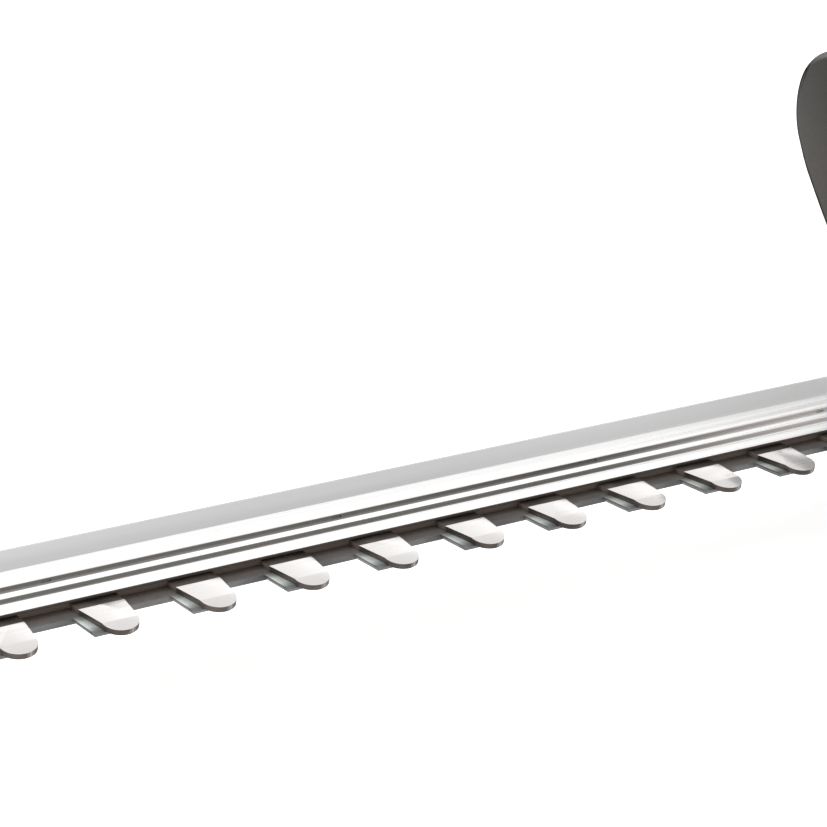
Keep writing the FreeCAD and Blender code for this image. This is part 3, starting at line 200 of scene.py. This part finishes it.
# ---------------------------------------------------------------- materials of several pieces
def plastic(name, colour, roughness=0.5, grain=0.35 * MM, specular=0.5):
    """Moulded plastic: fine spark-eroded grain, slight mottling and dulled high spots."""
    g = Graph(name)
    cells = g.node("ShaderNodeTexVoronoi", feature="SMOOTH_F1")
    g.link(g.place, cells.inputs["Vector"])
    cells.inputs["Scale"].default_value = 0.6 / grain
    fine = g.noise(0.35 / grain, 4.0)
    broad = g.noise(18.0, 2.0)
    tone = g.mix(g.span(broad, 0.3, 0.7), scaled(colour, 0.86), scaled(colour, 1.16))
    tone = g.mix(g.span(fine, 0.35, 0.8, 0.0, 0.25), tone, scaled(colour, 1.5, 0.01))
    height = g.plus(g.times(cells.outputs["Distance"], 0.6), g.times(fine, 0.4))
    g.bump(height, grain * 0.22, 0.6)
    return g.paint(tone, g.span(fine, 0.2, 0.8, roughness - 0.06, roughness + 0.1), specular=specular)


def rubber(name, colour):
    """Moulded rubber: matt, with dust in patches."""
    g = Graph(name)
    fine = g.noise(2600.0)
    dust = g.noise(90.0, 4.0)
    tone = g.mix(g.span(dust, 0.45, 0.8, 0.0, 0.5), rgb(*colour), scaled(colour, 2.2, 0.012))
    g.bump(fine, 0.06 * MM, 0.5)
    return g.paint(tone, g.span(dust, 0.2, 0.8, 0.68, 0.85), specular=0.35)


def metal(name, colour, roughness=0.3, lines=(1, 1, 1)):
    """Bare or plated metal: fine working marks along one direction and uneven dulling."""
    g = Graph(name)
    marks = g.noise(260.0, 5.0, lines, 0.6)
    broad = g.noise(30.0)
    dull = scaled(colour, 0.72)
    tone = g.mix(g.span(broad, 0.35, 0.75, 0.0, 0.25), rgb(*colour), dull)
    tone = g.mix(g.span(marks, 0.5, 0.8, 0.0, 0.35), tone, dull)
    g.bump(marks, 0.01 * MM, 0.4)
    rough = g.plus(g.span(marks, 0.3, 0.7, roughness - 0.05, roughness + 0.08),
                   g.span(broad, 0.4, 0.7, 0.0, 0.06))
    return g.paint(tone, rough, 1.0)


def cast_alloy(name):
    """Die-cast alloy: pebbled skin under a thin grey coat."""
    g = Graph(name)
    pebble = g.noise(900.0, 4.0)
    broad = g.noise(25.0, 2.0)
    tone = g.mix(g.span(broad, 0.3, 0.7), rgb(0.30, 0.305, 0.31), rgb(0.38, 0.385, 0.39))
    tone = g.mix(g.span(pebble, 0.55, 0.8, 0.0, 0.5), tone, rgb(0.5, 0.5, 0.5))
    g.bump(pebble, 0.12 * MM, 0.6)
    return g.paint(tone, g.span(pebble, 0.3, 0.7, 0.38, 0.52), 0.75)


def circuit_board(name):
    """Green solder mask with the tracks below it showing through."""
    g = Graph(name)
    tracks = g.node("ShaderNodeTexBrick")
    g.link(g.place, tracks.inputs["Vector"])
    tracks.inputs["Scale"].default_value = 260.0
    tracks.inputs["Mortar Size"].default_value = 0.03
    tracks.inputs["Color1"].default_value = rgb(0.02, 0.16, 0.07)
    tracks.inputs["Color2"].default_value = rgb(0.025, 0.19, 0.085)
    tracks.inputs["Mortar"].default_value = rgb(0.07, 0.30, 0.14)
    g.bump(tracks.outputs["Fac"], 0.03 * MM, 0.5)
    return g.paint(tracks.outputs["Color"], g.span(g.noise(400.0), 0.3, 0.7, 0.28, 0.4))


# ---------------------------------------------------------------- materials of the cutter bar
def rail_aluminium():
    """Extruded rail: bright satin top bands, grooves and lip front painted dark as shade, and a greyer
    flange; grooves and flange are painted lighter towards the gearbox as painted light.
    """
    g = Graph("rail_aluminium")
    x, y, z = g.axes()
    marks = g.noise(420.0, 5.0, (0.02, 1, 1), 0.65)
    streaks = g.noise(120.0, 3.0, (0.03, 1, 1))
    specks = g.noise(160.0, 4.0)
    top = g.mix(g.span(streaks, 0.42, 0.75, 0.0, 0.5), rgb(0.98, 0.975, 0.97), rgb(0.90, 0.895, 0.885))
    top = g.mix(g.span(specks, 0.66, 0.8, 0.0, 0.3), top, rgb(0.70, 0.68, 0.65))
    satin = g.mix(g.span(y, RAIL_FLANGE_Y, RAIL_BACK_Y - 1.0 * MM),
                  rgb(0.455, 0.455, 0.46), rgb(0.565, 0.563, 0.565))
    # Painted light: the flange is painted lighter towards the gearbox, where the hand guard shades it.
    flange_light_near_root = g.span(x, -260 * MM, -80 * MM, 0.0, 0.7)
    satin = g.mix(flange_light_near_root, satin, rgb(0.78, 0.775, 0.775))
    satin = g.mix(g.span(streaks, 0.4, 0.75, 0.0, 0.3), satin, rgb(0.66, 0.655, 0.655))
    flange = g.band(y, RAIL_FLANGE_Y, RAIL_BACK_Y + 1.0 * MM, 0.15 * MM)
    tone = g.mix(flange, top, satin)
    # Painted shade: the grooves are painted dark grey to stand for the shade inside them.
    groove_shade = g.mix(g.span(streaks, 0.3, 0.7), rgb(0.165, 0.155, 0.145), rgb(0.25, 0.24, 0.23))
    # Painted light: towards the gearbox the grooves are painted lighter, standing in for a reflection
    # there.
    groove_light_near_root = g.span(x, -200 * MM, -95 * MM, 0.0, 0.8)
    groove_shade = g.mix(groove_light_near_root, groove_shade, rgb(0.72, 0.68, 0.67))
    below = g.fall(z, RAIL_TOP - 0.16 * MM, RAIL_TOP - 0.02 * MM)
    groove = g.times(below, g.fall(y, RAIL_GROOVES_END_Y - 0.2 * MM, RAIL_GROOVES_END_Y + 0.2 * MM))
    tone = g.mix(groove, tone, groove_shade)
    at_lip = g.fall(y, RAIL_LIP_Y + 0.1 * MM, RAIL_LIP_Y + 0.3 * MM)
    # Painted shade: the lip's front face is painted near black.
    lip_front_shade = g.times(g.fall(g.facing()["Y"], -0.9, -0.6), at_lip)
    tone = g.mix(lip_front_shade, tone, rgb(0.055, 0.047, 0.041))
    rough = g.plus(g.span(marks, 0.3, 0.7, 0.24, 0.36), g.times(flange, 0.16))
    rough = g.plus(rough, g.times(groove, 0.3))
    shine = g.minus(0.30, g.times(g.math("MAXIMUM", flange, groove), 0.15))
    g.bump(marks, 0.012 * MM, 0.3)
    return g.paint(tone, rough, shine)


def comb_steel():
    """Comb: ground bright ahead of the strip, brown residues with painted shade behind, sides painted dark
    as shade with a painted glint at the tips, painted highlights on the rims.
    """
    g = Graph("comb_steel")
    y = g.axes()["Y"]
    nx, _, nz = g.facing()
    marks = g.noise(700.0, 4.0, (0.08, 1, 1), 0.6)
    blotch = g.noise(110.0, 4.0)
    fine = g.noise(1500.0)
    mottling = g.span(blotch, 0.3, 0.7)
    ground = g.mix(g.span(marks, 0.4, 0.8, 0.0, 0.5), rgb(0.90, 0.875, 0.865), rgb(0.82, 0.79, 0.78))
    ground = g.mix(g.span(blotch, 0.58, 0.8, 0.0, 0.35), ground, rgb(0.72, 0.67, 0.65))
    # Painted highlight: rounded rims, whose faces lean part way up, are painted near white and less
    # metallic.
    rim = g.times(g.span(nz, 0.75, 0.88), g.fall(nz, 0.945, 0.965))
    ground = g.mix(rim, ground, rgb(1.0, 0.98, 0.97))
    # Brown resin and oil residues behind the ground line, in part painted shade under the lip.
    residue_and_shade = g.mix(mottling, rgb(0.045, 0.036, 0.030), rgb(0.11, 0.09, 0.078))
    residue_and_shade = g.mix(g.span(fine, 0.5, 0.8, 0.0, 0.35), residue_and_shade, rgb(0.2, 0.17, 0.15))
    wander = g.times(g.minus(blotch, 0.5), 0.5 * MM)
    behind = g.span(g.plus(y, wander), COMB_GROUND_Y - 0.15 * MM, COMB_GROUND_Y + 0.15 * MM)
    tone = g.mix(behind, ground, residue_and_shade)
    # Painted shade: the upright sides are painted dark brown, lighter towards the strip.
    painted_side_tone = g.mix(mottling, rgb(0.035, 0.027, 0.024), rgb(0.09, 0.075, 0.066))
    painted_side_tone = g.mix(g.span(y, COMB_GROUND_Y - 0.8 * MM, COMB_GROUND_Y + 0.4 * MM), painted_side_tone, rgb(0.15, 0.122, 0.104))
    at_strip = g.span(y, COMB_STRIP_FRONT_Y - 0.6 * MM, COMB_STRIP_FRONT_Y - 0.2 * MM)
    painted_side_tone = g.mix(at_strip, painted_side_tone, rgb(0.17, 0.135, 0.115))
    at_tip = g.fall(y, COMB_BEND_Y - 1.5 * MM, COMB_BEND_Y - 0.9 * MM)
    # Painted glint on the sides at the tooth tips, where they face towards +x.
    painted_side_tone = g.mix(g.times(g.band(nx, 0.16, 0.42, 0.12), at_tip), painted_side_tone, rgb(0.24, 0.22, 0.21))
    side = g.fall(g.math("ABSOLUTE", nz), 0.55, 0.8)
    tone = g.mix(side, tone, painted_side_tone)
    # Painted shade: faces that point downwards take the dark brown from behind the ground line.
    tone = g.mix(g.fall(nz, -0.5, -0.2), tone, residue_and_shade)
    rough = g.plus(g.span(marks, 0.3, 0.7, 0.18, 0.28), g.times(behind, 0.25))
    rough = g.plus(rough, g.times(side, 0.2))
    g.bump(marks, 0.010 * MM, 0.3)
    return g.paint(tone, rough, g.minus(0.65, g.times(rim, 0.45)))


def blade_steel():
    """Cutter blade: a painted glint along the lands of its teeth, flank edges, end facets and sides painted
    dark as shade, and a brown strip.
    """
    g = Graph("blade_steel")
    x, y, _ = g.axes()
    marks = g.noise(500.0, 3.0, (1, 0.15, 1))
    blotch = g.noise(60.0)
    mottling = g.span(blotch, 0.3, 0.7)
    strip = g.mix(mottling, rgb(0.185, 0.174, 0.170), rgb(0.25, 0.237, 0.230))
    strip = g.mix(g.span(y, BLADE_ROOT_Y + 1.1 * MM, BLADE_ROOT_Y + 3.5 * MM), strip,
                  rgb(0.225, 0.195, 0.178))
    bright = g.mix(g.span(marks, 0.35, 0.75), rgb(0.83, 0.88, 0.855), rgb(0.72, 0.77, 0.745))
    glint = g.band(y, -30.8 * MM, -24.6 * MM, 1.8 * MM)
    teeth = g.mix(glint, rgb(0.34, 0.365, 0.36), bright)
    # Painted shade: the relief facets at the tooth ends are painted darker.
    relief_shade = g.fall(y, BLADE_RELIEF_Y - 0.25 * MM, BLADE_RELIEF_Y + 0.05 * MM)
    teeth = g.mix(relief_shade, teeth, rgb(0.20, 0.21, 0.21))
    from_gap = g.math("FLOORED_MODULO", g.plus(x, TOOTH_PITCH / 2 - FIRST_TOOTH_X), TOOTH_PITCH)
    from_tooth = g.minus(from_gap, TOOTH_PITCH / 2)
    flank = g.plus(g.times(y, BLADE_FLANK_SLOPE), BLADE_FLANK_X)
    # Painted shade: a dark line along each tooth's flank edge, for its bevel in shade.
    bevel = g.fall(g.minus(from_tooth, flank), 0.25 * MM, 0.5 * MM)
    teeth = g.mix(bevel, teeth, rgb(0.07, 0.08, 0.078))
    tone = g.mix(g.span(y, BLADE_ROOT_Y - 0.3 * MM, BLADE_ROOT_Y + 0.2 * MM), teeth, strip)
    # Painted shade: the upright sides are painted dark.
    painted_side_tone = g.mix(mottling, rgb(0.07, 0.068, 0.068), rgb(0.15, 0.148, 0.148))
    side = g.fall(g.facing()["Z"], 0.35, 0.75)
    tone = g.mix(side, tone, painted_side_tone)
    rough = g.plus(g.span(marks, 0.3, 0.7, 0.28, 0.38), g.times(side, 0.1))
    g.bump(marks, 0.004 * MM, 0.25)
    return g.paint(tone, rough, 0.55)


# ---------------------------------------------------------------- materials of housing and handles
def housing_plastic():
    """Housing: grained green shells with a parting line and a ribbed soft grip on the D handle."""
    g = Graph("housing_plastic")
    x, y, z = g.axes()
    fine = g.noise(1100.0, 4.0)
    broad = g.noise(16.0, 2.0)
    shell = g.mix(g.span(broad, 0.3, 0.7), rgb(0.030, 0.105, 0.050), rgb(0.042, 0.135, 0.064))
    shell = g.mix(g.span(fine, 0.55, 0.8, 0.0, 0.3), shell, rgb(0.075, 0.19, 0.10))
    soft = g.mix(g.span(fine, 0.4, 0.7), rgb(0.022, 0.022, 0.023), rgb(0.04, 0.04, 0.041))
    above_loop = g.span(g.plus(z, g.times(x, 0.08)), 112.6 * MM, 113.2 * MM)
    grip = g.times(g.band(x, GRIP_START_X, GRIP_END_X, 0.3 * MM), above_loop)
    parting = g.fall(g.math("ABSOLUTE", y), 0.12 * MM, 0.3 * MM)
    tone = g.mix(grip, shell, soft)
    tone = g.mix(parting, tone, rgb(0.015, 0.02, 0.016))
    rib_pitch = 2.8 * MM
    ribs = g.math("SINE", g.times(x, 2 * math.pi / rib_pitch))
    ribs = g.times(g.span(ribs, -0.4, 0.6), grip)
    height = g.plus(g.times(ribs, 0.5 * MM), g.times(fine, 0.06 * MM))
    g.bump(g.minus(height, g.times(parting, 0.25 * MM)), 1.0, 0.7)
    return g.paint(tone, g.plus(g.span(fine, 0.2, 0.8, 0.44, 0.56), g.times(grip, 0.25)))


def guard_shield():
    """Hand guard: warm grey satin plastic, lighter towards the bottom, painted near black as shade along
    its rim, with a band of painted light on the rim along the top.
    """
    g = Graph("guard_shield")
    z = g.axes()["Z"]
    fine = g.noise(1300.0, 4.0)
    broad = g.noise(14.0, 2.0)
    tone = g.mix(g.span(broad, 0.3, 0.7), rgb(0.0165, 0.0143, 0.0122), rgb(0.0215, 0.0186, 0.0158))
    tone = g.mix(g.span(z, GUARD_TOP - 56 * MM, GUARD_TOP - 4 * MM, 0.6, 0.0), tone,
                 rgb(0.046, 0.041, 0.036))
    tone = g.mix(g.span(fine, 0.5, 0.8, 0.0, 0.3), tone, rgb(0.06, 0.054, 0.048))
    inward = g.node("ShaderNodeAmbientOcclusion", inside=True, only_local=True, samples=16)
    inward.inputs["Distance"].default_value = 3.4 * MM
    depth = inward.outputs["AO"]
    # Painted shade: near the rims, found by occlusion inside the shell, the guard is painted near black.
    rim = g.fall(depth, 0.80, 0.985)
    tone = g.mix(rim, tone, rgb(0.003, 0.0027, 0.0024))
    # Painted light: a lighter band along the top rim, as if lit from above.
    top_rim_light = g.times(g.fall(depth, 0.86, 0.95), g.span(z, GUARD_TOP - 16 * MM, GUARD_TOP - 6 * MM))
    tone = g.mix(top_rim_light, tone, rgb(0.13, 0.125, 0.12))
    g.bump(fine, 0.05 * MM, 0.5)
    return g.paint(tone, g.span(fine, 0.2, 0.8, 0.44, 0.58), specular=g.span(rim, 0.0, 1.0, 0.12, 0.0))


def handle_grip():
    """Bail handle: grained plastic with soft ribs round the top of its arc."""
    g = Graph("handle_grip")
    low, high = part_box("front_handle")
    arc_centre = high.z - (high.y - low.y) / 2
    _, y, z = g.axes()
    fine = g.noise(1100.0, 4.0)
    tone = g.mix(g.span(fine, 0.35, 0.75), rgb(0.022, 0.020, 0.018), rgb(0.042, 0.038, 0.034))
    turn = g.math("ARCTAN2", y, g.minus(z, arc_centre))
    ribbed = g.fall(g.math("ABSOLUTE", turn), 0.86, 0.88)
    ribs_per_radian = 96.0
    ribs = g.span(g.math("SINE", g.times(turn, ribs_per_radian)), -0.3, 0.7)
    height = g.plus(g.times(g.times(ribs, ribbed), 0.6 * MM), g.times(fine, 0.05 * MM))
    g.bump(height, 1.0, 0.8)
    return g.paint(tone, g.plus(g.span(fine, 0.2, 0.8, 0.48, 0.6), g.times(ribbed, 0.15)))


SLOT_MATERIALS = {
    "rail_aluminium": rail_aluminium(),
    "bar_steel": metal("bar_steel", (0.20, 0.185, 0.175), 0.42, (0.05, 1, 1)),
    "zinc_steel": metal("zinc_steel", (0.62, 0.63, 0.62)),
    "gear_steel": metal("gear_steel", (0.48, 0.48, 0.49), 0.26),
    "bronze": metal("bronze", (0.68, 0.43, 0.19), 0.35),
    "cast_alloy": cast_alloy("cast_alloy"),
    "magnet": metal("magnet", (0.08, 0.08, 0.085), 0.55),
    "black_rubber": rubber("black_rubber", (0.018, 0.018, 0.018)),
    "guard_plastic": plastic("guard_plastic", (0.030, 0.027, 0.024), specular=0.3),
    "housing_plastic": housing_plastic(),
    "dark_plastic": plastic("dark_plastic", (0.035, 0.036, 0.038), 0.48),
    "accent_plastic": plastic("accent_plastic", (0.46, 0.085, 0.018), 0.4, 0.25 * MM),
    "board_green": circuit_board("board_green"),
    "cell_sleeve": plastic("cell_sleeve", (0.05, 0.11, 0.28), 0.25, 1.2 * MM),
}
NODE_MATERIALS = {
    "guard_comb": comb_steel(),
    "cutter_blade": blade_steel(),
    # Painted shade: the seal strip under the lip is coloured dark brown to stand in for the shade of the
    # recess.
    "rail_seal": plastic("seal_strip_shade", (0.075, 0.058, 0.048), 0.6, specular=0.3),
    "front_handle": handle_grip(),
    "hand_guard": guard_shield(),
    "battery_case_bottom": plastic("battery_case", (0.036, 0.12, 0.057)),
}


def material_of(node):
    return NODE_MATERIALS.get(node) or SLOT_MATERIALS[SLOT_OF[node]]


# ---------------------------------------------------------------- pieces from CAD nodes
MERGE_DISTANCE = 0.001 * MM
FLAT_ANGLE = math.radians(1.0)
ROUNDED_ANGLE = math.radians(28.0)
CREASE_ANGLE = math.radians(40.0)


def weigh_edges(mesh, chosen):
    """Clean a mesh up and give bevel weight 1 to its sharp edges, or only to chosen ones."""
    work = bmesh.new()
    work.from_mesh(mesh)
    bmesh.ops.remove_doubles(work, verts=work.verts, dist=MERGE_DISTANCE)
    bmesh.ops.dissolve_limit(work, angle_limit=FLAT_ANGLE, verts=work.verts, edges=work.edges)
    weight = work.edges.layers.float.new("bevel_weight_edge")
    for edge in work.edges:
        sharp = edge.is_manifold and edge.calc_face_angle() > ROUNDED_ANGLE
        middle = (edge.verts[0].co + edge.verts[1].co) / 2
        edge[weight] = 1.0 if sharp and (chosen is None or chosen(middle)) else 0.0
    work.to_mesh(mesh)
    work.free()


def rounded_copy(node, width, segments, chosen):
    """A copy of a node with real rounded edges, which stands for it.

    With chosen None, all sharp edges are rounded as far as their neighbours leave room.
    Otherwise only the sharp edges whose middle passes the test are, by the full width.
    """
    mesh = frame["nodes"][node].data.copy()
    mesh.materials.clear()
    weigh_edges(mesh, chosen)
    piece = bpy.data.objects.new(node + "_shape", mesh)
    bpy.context.scene.collection.objects.link(piece)
    mesh.materials.append(material_of(node))
    bevel = piece.modifiers.new("edges", "BEVEL")
    bevel.width = width
    bevel.segments = segments
    bevel.limit_method = "WEIGHT"
    bevel.miter_outer = "MITER_ARC"
    bevel.use_clamp_overlap = chosen is None
    graph = bpy.context.evaluated_depsgraph_get()
    final = bpy.data.meshes.new_from_object(piece.evaluated_get(graph))
    piece.modifiers.clear()
    piece.data = final
    final.name = piece.name
    for polygon in final.polygons:
        polygon.use_smooth = True
    final.set_sharp_from_angle(angle=CREASE_ANGLE)
    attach(piece, BODY_OF[node])
    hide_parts(node)


def off_guard_screws(place):
    """True away from the guard's screw bosses."""
    return abs(place.y) > 27.5 * MM or place.z < 58 * MM or place.z > 87 * MM


# For each node with rounded edges: the rounding's width, its segments and which edges it takes.
ROUNDINGS = {
    "guard_comb": (0.26 * MM, 2, None),
    "cover_rail": (0.10 * MM, 2, None),
    "support_bar": (0.3 * MM, 2, None),
    "gearbox_base": (0.7 * MM, 2, None),
    "gearbox_cover": (0.7 * MM, 2, None),
    "tip_protector": (0.6 * MM, 2, None),
    "rubber_foot": (0.8 * MM, 2, None),
    "trigger": (1.1 * MM, 4, None),
    "lock_off_button": (0.6 * MM, 2, None),
    "battery_case_top": (0.8 * MM, 2, None),
    "battery_case_bottom": (0.9 * MM, 2, None),
    "battery_dock": (0.6 * MM, 2, None),
    "battery_latch": (0.6 * MM, 2, None),
    "hand_guard": (1.2 * MM, 4, off_guard_screws),
}
for name, (width, segments, chosen) in ROUNDINGS.items():
    rounded_copy(name, width, segments, chosen)
for name, node in frame["nodes"].items():
    if name not in ROUNDINGS:
        node.data.materials.clear()
        node.data.materials.append(material_of(name))


# ---------------------------------------------------------------- floor, light and camera
def floor():
    """Wide matt floor that glows a little, so that it stays white round the object."""
    half = 30.0
    corners = [(-half, -half, 0), (half, -half, 0), (half, half, 0), (-half, half, 0)]
    mesh = bpy.data.meshes.new("studio_floor")
    mesh.from_pydata(corners, [], [(0, 1, 2, 3)])
    ground = bpy.data.objects.new("studio_floor", mesh)
    bpy.context.scene.collection.objects.link(ground)
    g = Graph("studio_floor")
    tone = g.mix(g.span(g.noise(3.0), 0.3, 0.7), rgb(0.93, 0.93, 0.93), rgb(0.95, 0.95, 0.95))
    g.shader.inputs["Emission Color"].default_value = rgb(1, 1, 1)
    g.shader.inputs["Emission Strength"].default_value = 0.55
    mesh.materials.append(g.paint(tone, 0.9, specular=0.0))


def studio_world():
    """Soft light tent: white round the horizon, greyer overhead."""
    world = bpy.data.worlds.new("studio_tent")
    bpy.context.scene.world = world
    world.use_nodes = True
    tree = world.node_tree
    place = tree.nodes.new("ShaderNodeTexCoord")
    axes = tree.nodes.new("ShaderNodeSeparateXYZ")
    tree.links.new(place.outputs["Generated"], axes.inputs[0])
    ramp = tree.nodes.new("ShaderNodeValToRGB")
    tree.links.new(axes.outputs["Z"], ramp.inputs["Fac"])
    stops = [(0.0, 1.15), (0.40, 1.22), (0.62, 0.74), (0.86, 0.62), (1.0, 0.62)]
    elements = ramp.color_ramp.elements
    while len(elements) < len(stops):
        elements.new(0.5)
    for element, (position, level) in zip(elements, stops):
        element.position = position
        element.color = (level, level, level * 0.995, 1.0)
    tree.links.new(ramp.outputs["Color"], tree.nodes["Background"].inputs["Color"])
    tree.nodes["Background"].inputs["Strength"].default_value = 1.0


def soft_lamp(name, place, target, size, power):
    """Round area lamp that points at a target."""
    data = bpy.data.lights.new(name, "AREA")
    data.shape = "DISK"
    data.size = size
    data.energy = power
    lamp = bpy.data.objects.new(name, data)
    lamp.location = place
    lamp.rotation_euler = (Vector(target) - Vector(place)).to_track_quat("-Z", "Y").to_euler()
    bpy.context.scene.collection.objects.link(lamp)


def camera(place, heading, drop, lens):
    """Camera that looks along a heading, in degrees from +Y towards +X, and down by a drop."""
    heading = math.radians(heading)
    drop = math.radians(drop)
    level = math.cos(drop)
    forward = Vector((math.sin(heading) * level, math.cos(heading) * level, -math.sin(drop)))
    right = Vector((math.cos(heading), -math.sin(heading), 0.0))
    up = right.cross(forward)
    data = bpy.data.cameras.new("camera")
    data.sensor_width = 36.0
    data.lens = lens
    data.clip_end = 100.0
    holder = bpy.data.objects.new("camera", data)
    turn = Matrix((right, up, -forward)).transposed().to_4x4()
    holder.matrix_world = Matrix.Translation(place) @ turn
    bpy.context.scene.collection.objects.link(holder)
    bpy.context.scene.camera = holder


floor()
studio_world()
soft_lamp("key_lamp", (-1.4, 0.3, 1.8), (-0.3, 0, 0.05), 1.2, 24.0)
camera(Vector((-0.62812, -0.60462, 0.27172 + COMB_TOP)), 31.655, 18.84, 107.6)
bpy.context.scene.view_settings.view_transform = "Standard"
